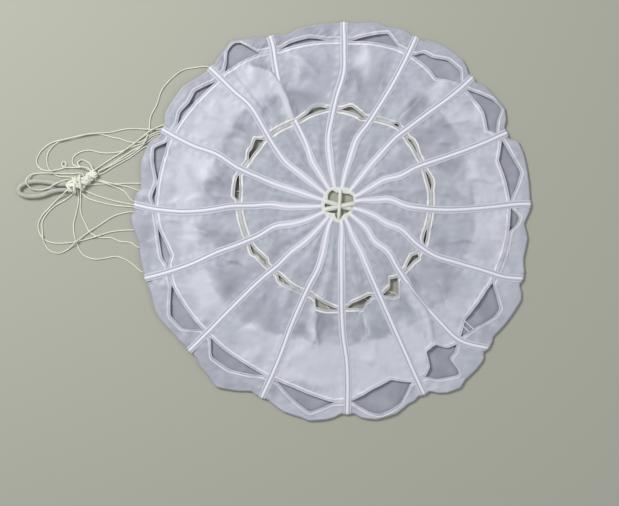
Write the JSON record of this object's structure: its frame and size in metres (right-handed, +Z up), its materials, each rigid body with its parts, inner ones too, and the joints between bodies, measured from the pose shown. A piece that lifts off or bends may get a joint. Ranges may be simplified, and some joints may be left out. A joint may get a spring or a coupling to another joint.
{
  "type": "small ring-slot parachute laid out flat",
  "caption": "Small round slotted parachute of thin white cloth, laid out flat with its skirt turned under, its lines knotted into a riser loop.",
  "frame": {"origin": "on the floor under the middle of the canopy as it lies, without its lines, knot and riser loop", "axes": "+Z up, out of the canopy's upper side; -X towards the knot and the riser loop; +Y across"},
  "size_m": [0.4728, 0.3668, 0.0077],
  "materials": {
    "canopy_cloth": "thin sheer woven nylon, calendered, soft sheen",
    "reinforcing_tape": "woven nylon tape, sewn on with white thread",
    "vent_binding": "folded woven tape, sewn",
    "line_cord": "thin braided cord, matt",
    "riser_cord": "thick soft braided cord, fuzzy"
  },
  "bodies": {
    "root": {"crown_cloth": "canopy_cloth", "ring_cloth": "canopy_cloth", "skirt_cloth": "canopy_cloth", "radial_tape_01": "reinforcing_tape", "radial_tape_02": "reinforcing_tape", "radial_tape_03": "reinforcing_tape", "radial_tape_04": "reinforcing_tape", "radial_tape_05": "reinforcing_tape", "radial_tape_06": "reinforcing_tape", "radial_tape_07": "reinforcing_tape", "radial_tape_08": "reinforcing_tape", "radial_tape_09": "reinforcing_tape", "radial_tape_10": "reinforcing_tape", "radial_tape_11": "reinforcing_tape", "radial_tape_12": "reinforcing_tape", "radial_tape_13": "reinforcing_tape", "radial_tape_14": "reinforcing_tape", "radial_tape_15": "reinforcing_tape", "radial_tape_16": "reinforcing_tape", "vent_binding": "vent_binding", "vent_tape_1": "reinforcing_tape", "vent_tape_2": "reinforcing_tape", "vent_tape_3": "reinforcing_tape", "suspension_line_01": "line_cord", "suspension_line_02": "line_cord", "suspension_line_03": "line_cord", "suspension_line_04": "line_cord", "suspension_line_05": "line_cord", "suspension_line_06": "line_cord", "suspension_line_07": "line_cord", "suspension_line_08": "line_cord", "suspension_line_09": "line_cord", "suspension_line_10": "line_cord", "suspension_line_11": "line_cord", "suspension_line_12": "line_cord", "suspension_line_13": "line_cord", "suspension_line_14": "line_cord", "suspension_line_15": "line_cord", "suspension_line_16": "line_cord", "slack_loop_1": "line_cord", "slack_loop_2": "line_cord", "knot": "line_cord", "riser_loop": "riser_cord"}
  },
  "joints": []
}
